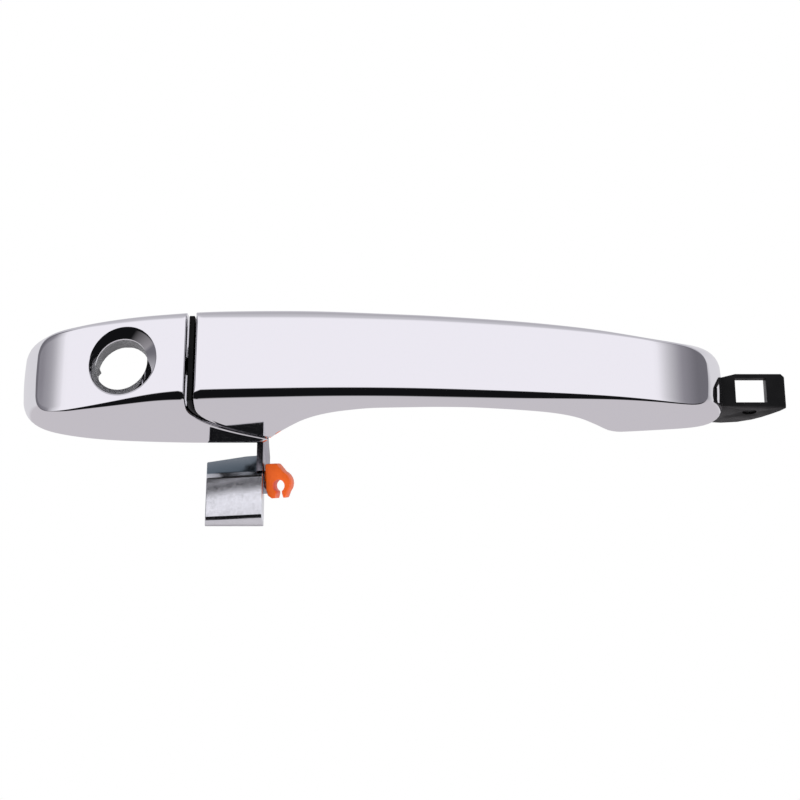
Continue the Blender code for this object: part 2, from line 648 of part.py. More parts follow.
def base_gasket():
    side = Side("cap")
    ring = new_object("base_gasket", outline_mesh(rear_outline(side, PAD_INSET, 27.5), "Y",
                                                  (-PAD_THICK, 0.0)), rubber())
    play = 0.4
    cut(ring, box_mesh((NECK["x"][0] - play, NECK["x"][1] + play), (-3.0, 3.0),
                       (NECK["z"][0] - play, BAY_OUTLINE[2][1] + play)))
    cut(ring, box_mesh((STEP["x"][0] - play, 40.0), (-3.0, 3.0),
                       (STEP["z"][0] - play, STEP["z"][1] + play)))
    cut(ring, rod_mesh("Y", -3.0, 3.0, (BOSS_X, 0, BOSS_Z), BOSS_R + play))


def fixing_insert():
    brass = material("brass", (0.80, 0.60, 0.28), 0.35, 1.0)
    body = rod_mesh("Y", 2.4, BOSS_END, (BOSS_X, 0, BOSS_Z), INSERT_R, sides=20)
    insert = new_object("fixing_insert", body, brass)
    cut(insert, rod_mesh("Y", 1.0, BOSS_END + 1, (BOSS_X, 0, BOSS_Z), INSERT_BORE_R, sides=20))
    smooth(insert)


def screw(name, x, z, head_y, tip_y):
    """A pan-head screw along Y: head_y is the head's outer face."""
    head = rod_mesh("Y", head_y - SCREW_HEAD_THICK, head_y, (x, 0, z), SCREW_HEAD_R, sides=16)
    body = new_object(name, head, steel())
    middle = head_y - SCREW_HEAD_THICK / 2
    join(body, rod_mesh("Y", tip_y, middle, (x, 0, z), SCREW_SHANK_R, sides=10))
    long, wide, deep = SCREW_CROSS
    for half_x, half_z in ((long, wide), (wide, long)):
        cut(body, box_mesh((x - half_x, x + half_x), (head_y - deep, head_y + 1),
                           (z - half_z, z + half_z)))


def lever_frame():
    """Empty on the pivot pin: its X is the pin."""
    frame = bpy.data.objects.get("lever_axis")
    if frame is None:
        frame = bpy.data.objects.new("lever_axis", None)
        PARTS.objects.link(frame)
        frame.location = Vector(LEVER_AT) * MM
        frame.rotation_euler = (0.0, 0.0, math.radians(LEVER_YAW))
    return frame


def lever_pin():
    frame = lever_frame()
    pin = new_object("lever_pin", rod_mesh("X", LUG_X[0][0] - 1.7, LUG_X[1][1] + 1.9, (0, 0, 0),
                                           PIN_R, sides=20), steel(), frame)
    join(pin, rod_mesh("X", LUG_X[0][0] - 2.0, LUG_X[0][0] - GAP, (0, 0, 0), 4.0, sides=20), frame)
    groove = rod_mesh("X", LUG_X[1][1] + 0.25, LUG_X[1][1] + 1.25, (0, 0, 0), 4.0, sides=20)
    tool = cut(pin, groove, frame)
    core = tool.modifiers.new("core", "BOOLEAN")
    core.operation = "DIFFERENCE"
    core.object = new_object("groove_core", rod_mesh("X", LUG_X[1][1], LUG_X[1][1] + 2, (0, 0, 0),
                                                     1.8, sides=20), None, frame)
    smooth(pin)


def pin_retainer():
    """E-clip in the pin's groove."""
    frame = lever_frame()
    start_x = LUG_X[1][1] + 0.4
    clip = new_object("pin_retainer", rod_mesh("X", start_x, start_x + 0.7, (0, 0, 0), 4.6, sides=24),
                      steel(), frame)
    cut(clip, rod_mesh("X", start_x - 1, start_x + 2, (0, 0, 0), 2.1, sides=20), frame)
    cut(clip, box_mesh((start_x - 1, start_x + 2), (-1.9, 1.9), (-6.0, 0.0)), frame)


def return_spring():
    """Torsion spring round the lever's tube, with a fixed leg and a leg that turns the lever back."""
    mean = SPRING_MEAN_R
    points = [(SPRING_START_X, -13.2, mean), (SPRING_START_X, -7.0, mean)]
    steps = int(SPRING_TURNS * SPRING_STEPS)
    for k in range(steps):
        turn = SPRING_TURNS * k / steps
        angle = math.pi / 2 - 2 * math.pi * turn
        points.append((SPRING_START_X + SPRING_PITCH * turn, mean * math.cos(angle),
                       mean * math.sin(angle)))
    end_x = SPRING_START_X + SPRING_PITCH * SPRING_TURNS
    points += [(end_x, mean, 0.3), (end_x + 0.2, mean + 0.2, 6.0)]
    wire = bpy.data.curves.new("return_spring", "CURVE")
    wire.dimensions = "3D"
    wire.bevel_depth = SPRING_WIRE_R * MM
    wire.bevel_resolution = 2
    wire.use_fill_caps = True
    line = wire.splines.new("POLY")
    line.points.add(len(points) - 1)
    for spot, point in zip(line.points, points):
        spot.co = (*(Vector(point) * MM), 1.0)
    wire.materials.append(steel())
    spring = bpy.data.objects.new("return_spring", wire)
    PARTS.objects.link(spring)
    spring.parent = lever_frame()


# ---- bellcrank body --------------------------------------------------------------------------
def finger_spot(radius, across):
    """(y, z) in the lever's frame of a point on the finger's arm at rest."""
    tilt = math.radians(LEVER_TILT)
    return (radius * math.sin(tilt) + across * math.cos(tilt),
            radius * math.cos(tilt) - across * math.sin(tilt))


def lever_plate():
    frame = lever_frame()
    lever = new_object("lever_plate", outline_mesh(PLATE_OUTLINE, "X", LEVER_PLATE_X), zinc(), frame)
    outer = FINGER_R + FINGER_SIZE[1] / 2
    arm = [finger_spot(0, -LEVER_ROOT), finger_spot(outer, -2.8), finger_spot(outer, 1.8),
           finger_spot(0, LEVER_ROOT)]
    join(lever, outline_mesh(arm, "X", LEVER_PLATE_X), frame)
    join(lever, rod_mesh("X", *LEVER_PLATE_X, (0, 0, 0), LEVER_EYE_R), frame)
    half = FINGER_SIZE[0] / 2
    inner = FINGER_R - FINGER_SIZE[1] / 2
    tab = [finger_spot(inner, -half), finger_spot(outer, -half), finger_spot(outer, half),
           finger_spot(inner, half)]
    join(lever, outline_mesh(tab, "X", FINGER_X), frame)
    cut(lever, rod_mesh("X", 5.0, 12.0, (0, 0, 0), TUBE_R[1] + GAP, sides=20), frame)
    cut(lever, rod_mesh("X", 5.0, 12.0, (0, *CLIP_STEM), CLIP_STEM_R + 0.4, sides=16), frame)
    smooth(lever)


def finger_sleeve():
    frame = lever_frame()

    def section(grow):
        half = FINGER_SIZE[0] / 2 + grow
        low, high = FINGER_R - FINGER_SIZE[1] / 2 - grow, FINGER_R + FINGER_SIZE[1] / 2 + grow
        return [finger_spot(low, -half), finger_spot(high, -half), finger_spot(high, half),
                finger_spot(low, half)]

    outer = outline_mesh(section(GAP + SLEEVE_WALL), "X", (FINGER_X[0] - 1.2, 6.2))
    sleeve = new_object("finger_sleeve", outer, rubber(), frame)
    cut(sleeve, outline_mesh(section(GAP), "X", (FINGER_X[0] - GAP, 8.0)), frame)


def pivot_tube():
    frame = lever_frame()
    tube = new_object("pivot_tube", rod_mesh("X", *TUBE_X, (0, 0, 0), TUBE_R[1], sides=20),
                      steel(), frame)
    cut(tube, rod_mesh("X", TUBE_X[0] - 1, TUBE_X[1] + 1, (0, 0, 0), PIN_R + GAP, sides=20), frame)
    smooth(tube)


def counterweight():
    """Cast block round the plate's tail; its rear and its two ends are square to the door."""
    frame = lever_frame()
    weight = new_object("counterweight", outline_mesh(WEIGHT_OUTLINE, "X", WEIGHT_SPAN), zinc(), frame)
    beside = (LEVER_PLATE_X[0] - GAP, WEIGHT_SPAN[1] + 1)
    pocket = WEIGHT_POCKET
    cut(weight, box_mesh(beside, pocket["y"], pocket["z"]), frame)
    cut(weight, box_mesh(beside, (-2.0, pocket["y"][1]), (WEIGHT_STEP_Z, pocket["z"][1])), frame)
    boolean(weight, outline_mesh(WEIGHT_PLAN, "Z", (-50.0, -5.0)), "INTERSECT")
    soften(weight, 0.6, 20.0)
    cut(weight, rod_mesh("X", 3.4, LEVER_PLATE_X[0] - 0.1, (0, *CLIP_STEM), 3.4, sides=16), frame)


# ---- rod clip body ---------------------------------------------------------------------------
def clip_frame():
    """Empty on the clip's stem, turned to the clip's place at rest."""
    stem = bpy.data.objects.get("clip_axis")
    if stem is None:
        stem = bpy.data.objects.new("clip_axis", None)
        PARTS.objects.link(stem)
        stem.parent = lever_frame()
        stem.location = Vector((0.0, *CLIP_STEM)) * MM
        stem.rotation_euler = (math.radians(CLIP_TILT), 0.0, 0.0)
    return stem


def rod_clip():
    """Snap hook for the latch rod: its bore is open downwards, its stem turns in the lever."""
    stem = clip_frame()
    x, z = CLIP_BORE
    hook = CLIP_HOOK
    outline = list(CLIP_BACK)
    for k in range(9):
        turn = math.radians(hook["from"] + (hook["to"] - hook["from"]) * k / 8)
        outline.append((hook["centre"][0] + hook["radius"] * math.cos(turn),
                        hook["centre"][1] + hook["radius"] * math.sin(turn)))
    orange = material("orange_acetal", (0.80, 0.16, 0.02), 0.4)
    clip = new_object("rod_clip", outline_mesh(outline, "Y", CLIP_DEPTH), orange, stem)
    soften(clip, 0.5, 50.0)
    join(clip, rod_mesh("X", 5.6, 11.4, (0, 0, 0), CLIP_STEM_R, sides=16), stem)
    join(clip, rod_mesh("X", 4.0, 6.9, (0, 0, 0), CLIP_STEM_R + 0.2, CLIP_STEM_R + 0.9, sides=16), stem)
    through = (CLIP_DEPTH[0] - 3.0, CLIP_DEPTH[1] + 3.0)
    cut(clip, rod_mesh("Y", *through, (x, 0, z), CLIP_BORE_R, sides=20), stem)
    flare = [(x - CLIP_SLOT, z), (x + CLIP_SLOT, z), (x + CLIP_SLOT, z - 2.8), (x + 1.9, z - 5.5),
             (x - 1.9, z - 5.5), (x - CLIP_SLOT, z - 2.8)]
    cut(clip, outline_mesh(flare, "Y", through), stem)
    smooth(clip)


# ---- grip body -------------------------------------------------------------------------------
def grip_cover():
    side = Side("grip")
    cover = new_object("grip_cover", cup_mesh(side, SHELL, 5, 20, 6, 3, 7), chrome())
    cut(cover, block_mesh(COVER_WINDOW))
    smooth(cover)


def carrier_section(x):
    """Corners of the beam inside the grip, in (y, z)."""
    front = FACE_DEPTH(x) + SHELL + 0.4
    rear = min(front + CARRIER_DEPTH, SCOOP(x) - 1.0 - COVER_WALL)
    end = max(x - GRIP_TURN_X, 0.0) / (GRIP_FACE_X - GRIP_TURN_X)
    low = FACE_BOTTOM(x) + 1.5 + 3.0 * end
    high = FACE_TOP(x) - 1.0 - 3.5 * end
    return [(x, front, low), (x, front, high), (x, rear, high), (x, rear, low)]


def grip_carrier():
    """Beam, latch leg and hinge arm in one moulding."""
    spots = [CARRIER_X[0] + (CARRIER_X[1] - CARRIER_X[0]) * k / 16 for k in range(17)]
    carrier = new_object("grip_carrier", band_mesh(carrier_section, spots), black_nylon())
    for block in (LEG, NOSE):
        join(carrier, block_mesh(block))
    join(carrier, outline_mesh(SHELF, "Z", (ARM_Z[0], ARM_Z[0] + SHELF_THICK)))
    for block in (BEAM_END, SHOULDER, ARM_ROOT):
        join(carrier, block_mesh(block))
    join(carrier, outline_mesh(ARM_PLATE, "Y", ARM_PLATE_Y))
    for block in (HINGE_BAR, ARM_RIB):
        join(carrier, block_mesh(block))
    cut(carrier, block_mesh(WINDOW))
    x, y, radius, deep = ARM_DIMPLE
    cut(carrier, rod_mesh("Z", ARM_Z[0] - 1, ARM_Z[0] + deep, (x, y, 0), radius, sides=20))
    for x in GRIP_SCREWS:
        rear = SCOOP(x)
        cut(carrier, rod_mesh("Y", rear - 8.5, rear, (x, 0, screw_z(x)), HOLE_R, sides=12))


def screw_z(x):
    return (FACE_TOP(x) + FACE_BOTTOM(x)) / 2


def cover_section(x):
    """Corners of the back cover, in (y, z)."""
    rear = SCOOP(x) - COVER_DROP
    front = rear - COVER_WALL
    end = max(x - GRIP_TURN_X, 0.0) / (GRIP_END_X - GRIP_TURN_X)
    low = flank_z(x, front, False) + COVER_INSET + 5.0 * end ** 2
    high = flank_z(x, front, True) - COVER_INSET - 6.0 * end ** 2
    return [(x, front, low), (x, front, high), (x, rear, high), (x, rear, low)]


def grip_back_cover():
    count = 26
    spots = [COVER_X[0] + (COVER_X[1] - COVER_X[0]) * k / count for k in range(count + 1)]
    texture = material("black_textured", (0.015, 0.015, 0.016), 0.7)
    cover = new_object("grip_back_cover", band_mesh(cover_section, spots), texture)
    cut(cover, block_mesh(ARM_PASSAGE))
    for x in GRIP_SCREWS:
        rear = SCOOP(x) - COVER_DROP
        cut(cover, rod_mesh("Y", rear - 4, rear + 2, (x, 0, screw_z(x)), HOLE_R, sides=12))
        cut(cover, rod_mesh("Y", rear - 1.4, rear + 2, (x, 0, screw_z(x)), HEAD_HOLE_R, sides=16))


def front_pad():
    side = Side("grip")
    pad = new_object("front_pad", outline_mesh(rear_outline(side, PAD_INSET, 160.0), "Y",
                                               (-PAD_THICK, 0.0)), rubber())
    cut(pad, block_mesh(PAD_PASSAGE))


def build():
    start()
    key_cap()
    seam_buffer()
    lock_ring()
    base_housing()
    base_gasket()
    fixing_insert()
    for n, (x, z) in enumerate(CAP_SCREWS, 1):
        screw(f"cap_screw_{n}", x, z, PLATE_Y[1] + 0.15, PLATE_Y[0] - 8.0)
    lever_pin()
    pin_retainer()
    return_spring()
    lever_plate()
    finger_sleeve()
    pivot_tube()
    counterweight()
    rod_clip()
    grip_cover()
    grip_carrier()
    grip_back_cover()
    for n, x in enumerate(GRIP_SCREWS, 1):
        rear = SCOOP(x) - COVER_DROP
        screw(f"grip_screw_{n}", x, screw_z(x), rear - 0.1, rear - 4.4)
    front_pad()


build()
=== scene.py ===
"""Looks of a car door handle: chromed cap and pull grip, hinge arm, bellcrank and rod clip.

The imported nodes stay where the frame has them. The two chromed shells are rebuilt from the same
curves at a finer grid. Lengths are in millimetres, and MM turns them into metres.
"""
import bisect
import json
import math

import bmesh
import bpy
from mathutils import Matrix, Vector


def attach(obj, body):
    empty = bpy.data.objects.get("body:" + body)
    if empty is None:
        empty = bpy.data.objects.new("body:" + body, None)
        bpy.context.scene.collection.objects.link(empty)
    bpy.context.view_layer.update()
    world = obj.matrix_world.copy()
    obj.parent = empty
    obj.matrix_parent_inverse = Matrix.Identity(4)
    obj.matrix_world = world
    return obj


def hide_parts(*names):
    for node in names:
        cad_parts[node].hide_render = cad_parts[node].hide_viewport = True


MM = 0.001
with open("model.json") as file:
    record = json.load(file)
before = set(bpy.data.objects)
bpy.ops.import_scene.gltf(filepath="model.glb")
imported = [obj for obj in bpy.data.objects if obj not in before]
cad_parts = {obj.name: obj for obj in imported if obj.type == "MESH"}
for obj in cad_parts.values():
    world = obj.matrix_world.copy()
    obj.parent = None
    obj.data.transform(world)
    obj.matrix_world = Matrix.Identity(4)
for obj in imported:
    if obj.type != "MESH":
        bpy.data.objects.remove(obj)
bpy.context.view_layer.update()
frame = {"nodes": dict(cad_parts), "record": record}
SLOTS = {row["node"]: row["material_slot"] for row in frame["record"]["subparts"]}

# ---- outside shape, as in the model ----------------------------------------------------------
# Ends of the cap and of the grip: the rear rim, the face, and where the rounded end starts.
KEY_END_X, KEY_FACE_X, KEY_TURN_X = -55.6, -47.2, -34.0
GRIP_END_X, GRIP_FACE_X, GRIP_TURN_X = 196.0, 188.2, 172.0
# How square the corners of each end are: exponents for its top and bottom.
KEY_SQUARE = {"face": (4.2, 4.5), "rear": (4.4, 3.6)}
GRIP_SQUARE = {"face": (4.0, 5.0), "rear": (3.6, 4.6)}
SEAT_Y = -1.3
SHELL = 2.2
BELLY = 1.0
BLUR = 6.0
# The seam goes straight in from the face, then sweeps along towards the hinge end.
SEAM_X, SEAM_Y, SEAM_SWEEP, SEAM_GAP = 7.8, -27.7, 37.1, 3.2
SEAM_ROUND = 1.1
# The key opening: mouth, rounded lip, funnel and bore, then the seat of the guide ring.
LOCK_X, LOCK_Z, LOCK_LEAN = -16.1, 0.4, -0.27
LOCK_MOUTH_R, LOCK_BORE_R, LOCK_FUNNEL, LOCK_SHIFT = 11.9, 9.4, 3.1, -0.9
LOCK_LIP, LIP_SPREAD, LIP_STEPS = 1.15, 1.2, 8
COLLAR_R, COLLAR_START, COLLAR_DEPTH = 13.6, 1.2, 9.0
RING_DEPTH, RING_R, GAP = 4.3, 11.3, 0.3
CUT_DEPTH = 14.0
# Screw posts (x, z) in the cap, and the windows that the grip's leg passes through.
POSTS = [(-39.0, 9.5), (-1.0, 5.5), (0.3, -11.0)]
POST_R, POST_START, POST_END_Y, POST_SIDES = 2.8, 2.0, -4.9, 24
CAP_WINDOW = ((18.0, 30.5), (-17.0, 0.5), (5.5, 15.0))
COVER_WINDOW = ((20.0, 29.0), (-20.0, 2.0), (6.2, 12.8))

# ---- mesh detail -----------------------------------------------------------------------------
# Columns in the rounded end, columns to the seam, rows, rings round the edge, rings down the flank.
CAP_GRID = (14, 30, 18, 9, 16)
COVER_GRID = (14, 90, 18, 9, 16)
ROUND_SIDES = 96
SHELL_EASE, SHELL_EASE_ANGLE = 0.35, 55
SHADE_ANGLE = 32.0
WELD, FLAT_ANGLE, EDGE_ANGLE, SPLIT_ANGLE = 0.01, 1.5, 40, 38
REBUILT = ("key_cap", "grip_cover")
# seam_buffer is a dark piece in the seam gap that stands in for the shade there: painted shade.
EASE = {"seam_buffer": 0.3, "base_housing": 0.35, "grip_carrier": 0.45, "lever_plate": 0.25,
        "counterweight": 0.25, "rod_clip": 0.3, "lock_guide_ring": 0.25, "grip_back_cover": 0.5,
        "pivot_tube": 0.2, "lever_pin": 0.25, "fixing_insert": 0.25, "pin_retainer": 0.12,
        "base_gasket": 0.25, "front_pad": 0.25, "finger_sleeve": 0.35}

# ---- studio ----------------------------------------------------------------------------------
LENS, SENSOR = 84.7, 36.0
CAMERA_AT, CAMERA_TILT = (80.0, -637.4, -235.17), 110.0
LIGHT_TARGET = (0.08, 0.0, 0.0)
FLOOR_SIZE, FLOOR_AT = 3000.0, (80.0, 0.0, -310.0)


def curve(points, blur=BLUR):
    """A smooth function through the points with no overshoot, averaged over a blur's width."""
    xs = [p[0] for p in points]
    ys = [p[1] for p in points]
    steps = [b - a for a, b in zip(xs, xs[1:])]
    slopes = [(b - a) / h for a, b, h in zip(ys, ys[1:], steps)]
    bends = [slopes[0]]
    for before, after in zip(slopes, slopes[1:]):
        bends.append(2 * before * after / (before + after) if before * after > 0 else 0.0)
    bends.append(slopes[-1])

    def exact(x):
        if x <= xs[0]:
            return ys[0] + bends[0] * (x - xs[0])
        if x >= xs[-1]:
            return ys[-1] + bends[-1] * (x - xs[-1])
        i = bisect.bisect_right(xs, x) - 1
        h = steps[i]
        t = (x - xs[i]) / h
        return (ys[i] * (1 + 2 * t) * (1 - t) ** 2 + h * bends[i] * t * (1 - t) ** 2
                + ys[i + 1] * t * t * (3 - 2 * t) + h * bends[i + 1] * t * t * (t - 1))

    if not blur:
        return exact
    weights = [(-1.0, 1), (-0.5, 2), (0.0, 3), (0.5, 2), (1.0, 1)]
    return lambda x: sum(w * exact(x + d * blur) for d, w in weights) / 9


FACE_DEPTH = curve([(-55, -15.5), (-44, -20.2), (-32, -25.1), (-18, -29.2), (-3, -33.0), (11, -35.4),
                    (45, -36.0), (80, -35.0), (115, -31.8), (143, -27.4), (165, -22.3),
                    (180, -17.3), (196, -10.0)])
FACE_TOP = curve([(-55, 13.2), (-32, 13.9), (-10, 14.0), (15, 13.3), (80, 12.8), (115, 12.2),
                  (150, 11.6), (172, 11.0), (196, 10.8)])
FACE_BOTTOM = curve([(-55, -15.6), (-32, -15.0), (-18, -13.5), (0, -11.5), (40, -10.8), (80, -10.4),
                     (150, -10.4), (172, -10.6), (196, -10.6)])
REAR_TOP = curve([(-55, 19.3), (-44, 20.0), (-32, 20.3), (-10, 20.8), (20, 21.6), (60, 21.0),
                  (115, 19.0), (172, 18.2), (196, 17.6)])
REAR_BOTTOM = curve([(-55, -14.8), (-44, -16.3), (-32, -18.2), (-18, -19.3), (10, -20.0),
                     (35, -19.9), (55, -18.6), (80, -17.3), (115, -16.6), (143, -16.2),
                     (157, -15.9), (172, -15.1), (196, -13.6)])
EDGE_TOP = curve([(-55, 0.6), (-44, 0.8), (-32, 1.8), (-18, 2.8), (0, 3.1), (20, 4.2), (45, 4.5),
                  (80, 3.7), (115, 3.4), (143, 2.6), (160, 1.6), (172, 1.0), (196, 0.7)])
EDGE_BOTTOM = curve([(-55, 0.6), (-44, 0.6), (-32, 1.0), (-18, 2.2), (0, 3.7), (10, 4.3), (80, 4.3),
                     (115, 3.6), (143, 2.2), (165, 1.0), (180, 0.6), (196, 0.6)])
SCOOP = curve([(20, -1.3), (31, -1.3), (32.5, -2.6), (34.1, -5.2), (40.1, -12.4), (46.8, -18.6),
               (53, -22.0), (60, -24.2), (72, -25.9), (88, -26.0), (100, -25.3), (115, -22.8),
               (129, -19.2), (136, -16.6), (143, -12.8), (150, -6.8), (155, -2.4), (159, -1.3),
               (200, -1.3)], 0.0)


def seam_x(y):
    """X of the seam's middle at a depth."""
    return SEAM_X + SEAM_SWEEP * (max(y - SEAM_Y, 0.0) / -SEAM_Y) ** 2


def seam_slope(y):
    """How far the seam moves in x per mm of depth."""
    return 2 * SEAM_SWEEP * max(y - SEAM_Y, 0.0) / SEAM_Y ** 2


class Side:
    """The cap or the grip: which way it runs from its rounded end to the seam."""

    def __init__(self, name):
        self.is_cap = name == "cap"
        self.sign = 1 if self.is_cap else -1
        self.turn = KEY_TURN_X if self.is_cap else GRIP_TURN_X
        self.face_end = KEY_FACE_X if self.is_cap else GRIP_FACE_X
        self.rear_end = KEY_END_X if self.is_cap else GRIP_END_X
        self.square = KEY_SQUARE if self.is_cap else GRIP_SQUARE

    def seam(self, y, inset=0.0):
        """X of this side's end wall at a depth, moved into the material by inset."""
        lean = math.hypot(1.0, seam_slope(y))
        return seam_x(y) - self.sign * (SEAM_GAP / 2 + inset * lean)

    def height(self, x0, u, where):
        """Bottom and top of the face or of the rear rim, at x0, a share u into the rounded end."""
        top = (FACE_TOP if where == "face" else REAR_TOP)(x0)
        bottom = (FACE_BOTTOM if where == "face" else REAR_BOTTOM)(x0)
        middle = (top + bottom) / 2
        n_top, n_bottom = self.square[where]
        top = middle + (top - middle) * (1 - u ** n_top) ** (1 / n_top)
        bottom = middle + (bottom - middle) * (1 - u ** n_bottom) ** (1 / n_bottom)
        return bottom, top

    def end_x(self, u, where):
        """X at a share u into the rounded end."""
        reach = (self.face_end if where == "face" else self.rear_end) - self.turn
        return self.turn + reach * u


class Cup:
    """Grid and rings of one skin of a shell: the outer one, or the inner one when inset > 0.

    The face is a grid of columns. Its border is ring 0, and each next ring lies deeper, round the
    edge and down the flank to the rear rim. The ring's seam side is the end wall, and place()
    finds it in at most SETTLE damped steps, until a step is shorter than CLOSE.
    """

    END_U = 0.985
    SETTLE = 50
    DAMPING = 0.25
    CLOSE = 0.002

    def __init__(self, side, inset, turns, runs, rows, bends, flanks):
        self.side, self.inset, self.rows = side, inset, rows
        self.bends = 0 if inset else bends
        self.flanks = flanks
        self.columns = []
        for k in range(turns):
            u = self.END_U * math.cos(math.pi / 2 * k / turns)
            self.columns.append((side.end_x(u, "face"), side.end_x(u, "rear"), u))
        for k in range(runs + 1):
            x = side.turn + (SEAM_X - side.turn) * k / runs
            self.columns.append((x, x, 0.0))
        self.last = len(self.columns) - 1

    def section(self, x_face, x_rear, u, share):
        """Face point, rear point and edge radius at a share of the way from bottom to top."""
        low, high = self.side.height(x_face, u, "face")
        rear_low, rear_high = self.side.height(x_rear, u, "rear")
        radius = EDGE_BOTTOM(x_face) * (1 - share) + EDGE_TOP(x_face) * share
        face = Vector((x_face, low + (high - low) * share))
        rear = Vector((x_rear, rear_low + (rear_high - rear_low) * share))
        return face, rear, radius

    def profile(self, face, rear, radius, u, level):
        """Depth below the face and reach outwards at a level: a rounded edge, then the flank."""
        y_face = FACE_DEPTH(face.x)
        full = SEAT_Y - y_face
        depth = SCOOP(rear.x) - y_face
        gap = rear - face
        slope = (gap.length - radius) / full
        belly = BELLY * u * u
        if level <= self.bends and not self.inset:
            tilt = max((FACE_DEPTH(face.x + 0.5) - FACE_DEPTH(face.x - 0.5)) * gap.x / gap.length, 0.0)
            steep = slope + 4 * belly / (full - radius)
            corner = radius * (1 + slope - steep) / (1 - steep * tilt)
            bend = level / self.bends
            down = 2 * bend * (1 - bend) * tilt * corner + bend ** 2 * radius
            return down, 2 * bend * (1 - bend) * corner + bend ** 2 * radius * (1 + slope)
        start = self.inset or radius
        down = start + (depth - start) * (level - self.bends) / self.flanks
        share = max(down - radius, 0.0) / (full - radius)
        return down, radius + slope * down + 4 * belly * share * (1 - share) - self.inset

    def place(self, i, j, level):
        """A point of ring `level` at border spot (i, j)."""
        side, share = self.side, j / self.rows
        x_face, x_rear, u = self.columns[i]
        stretch = max((x_face - side.turn) / (SEAM_X - side.turn), 0.0)
        shift = 0.0
        for _ in range(self.SETTLE if stretch else 1):
            face, rear, radius = self.section(x_face + shift, x_rear + shift, u, share)
            if i == 0:
                bulge = math.sin(math.pi * share) * (1 - self.END_U)
                face.x += bulge * (side.face_end - side.turn)
                rear.x += bulge * (side.rear_end - side.turn)
            down, reach = self.profile(face, rear, radius, u, level)
            y = FACE_DEPTH(face.x) + down
            lift = 0.0
            if down < SEAM_ROUND and not self.inset:
                lift = SEAM_ROUND - math.sqrt(SEAM_ROUND ** 2 - (SEAM_ROUND - down) ** 2)
            step = self.DAMPING * (stretch * (side.seam(y, self.inset + lift) - SEAM_X) - shift)
            shift += step
            if abs(step) < self.CLOSE:
                break
        if i == self.last and 0 < j < self.rows:
            low = self.place(i, 0, level)[2]
            high = self.place(i, self.rows, level)[2]
            return (face.x, y, low + (high - low) * share)
        spot = face + (rear - face).normalized() * reach
        return (spot.x, y, spot.y)

    def border(self):
        """The ring's spots in order, as (column, row)."""
        spots = [(i, 0) for i in range(self.last + 1)]
        spots += [(self.last, j) for j in range(1, self.rows + 1)]
        spots += [(i, self.rows) for i in range(self.last - 1, -1, -1)]
        return spots + [(0, j) for j in range(self.rows - 1, 0, -1)]

    def build(self, bm):
        """Adds the skin's faces and returns its rim."""
        border = self.border()
        ring = {spot: bm.verts.new(self.place(*spot, 0)) for spot in border}
        grid = dict(ring)
        for i in range(self.last + 1):
            low, high = ring[i, 0].co, ring[i, self.rows].co
            for j in range(1, self.rows):
                if (i, j) not in grid:
                    spot = low.lerp(high, j / self.rows)
                    grid[i, j] = bm.verts.new((spot.x, FACE_DEPTH(spot.x) + self.inset, spot.z))
        for i in range(self.last):
            for j in range(self.rows):
                bm.faces.new([grid[i, j], grid[i + 1, j], grid[i + 1, j + 1], grid[i, j + 1]])
        rim = [ring[spot] for spot in border]
        for level in range(1, self.bends + self.flanks + 1):
            deeper = [bm.verts.new(self.place(*spot, level)) for spot in border]
            for k in range(len(rim)):
                n = (k + 1) % len(rim)
                bm.faces.new([rim[k], rim[n], deeper[n], deeper[k]])
            rim = deeper
        return rim


def shell_object(name, side, grid):
    """A chromed shell as one closed mesh, with a modifier that eases its sharp edges."""
    bm = bmesh.new()
    outer = Cup(side, 0.0, *grid).build(bm)
    inner = Cup(side, SHELL, *grid).build(bm)
    for k in range(len(outer)):
        n = (k + 1) % len(outer)
        bm.faces.new([outer[k], outer[n], inner[n], inner[k]])
    bmesh.ops.recalc_face_normals(bm, faces=bm.faces)
    obj = new_object(name, to_mesh(bm, name))
    ease = obj.modifiers.new("ease", "BEVEL")
    ease.width = SHELL_EASE * MM
    ease.segments = 2
    ease.limit_method = "ANGLE"
    ease.angle_limit = math.radians(SHELL_EASE_ANGLE)
    return obj


# ---- mesh helpers ----------------------------------------------------------------------------
def to_mesh(bm, name):
    """Turns a bmesh in millimetres into a mesh in metres."""
    bmesh.ops.scale(bm, vec=(MM, MM, MM), verts=bm.verts)
    mesh = bpy.data.meshes.new(name)
    bm.to_mesh(mesh)
    bm.free()
    return mesh


def new_object(name, mesh):
    """Puts a mesh into the scene as an object."""
    obj = bpy.data.objects.new(name, mesh)
    bpy.context.scene.collection.objects.link(obj)
    return obj


def box_mesh(x, y, z):
    """A box from its (low, high) pairs along x, y and z."""
    bm = bmesh.new()
    bmesh.ops.create_cube(bm, size=1.0)
    bmesh.ops.scale(bm, vec=(x[1] - x[0], y[1] - y[0], z[1] - z[0]), verts=bm.verts)
    middle = Vector((x[0] + x[1], y[0] + y[1], z[0] + z[1])) / 2
    bmesh.ops.translate(bm, vec=middle, verts=bm.verts)
    return to_mesh(bm, "box")


def turned_y(profile, x, z, sides=ROUND_SIDES):
    """A solid turned about an axis along Y: the profile is (radius, y) from front to back."""
    bm = bmesh.new()
    angles = [2 * math.pi * k / sides for k in range(sides)]
    rings = [[bm.verts.new((x + radius * math.cos(a), y, z + radius * math.sin(a)))
              for a in angles] for radius, y in profile]
    for here, there in zip(rings, rings[1:]):
        for k in range(sides):
            n = (k + 1) % sides
            bm.faces.new([here[k], here[n], there[n], there[k]])
    bm.faces.new(rings[0])
    bm.faces.new(rings[-1])
    bmesh.ops.recalc_face_normals(bm, faces=bm.faces)
    return to_mesh(bm, "turned")


def combine(target, mesh, operation):
    """Cuts a mesh from an object or joins it on, and applies it."""
    tool = new_object("tool", mesh)
    step = target.modifiers.new("step", "BOOLEAN")
    step.operation = operation
    step.solver = "EXACT"
    step.object = tool
    settle(target)
    bpy.data.objects.remove(tool, do_unlink=True)


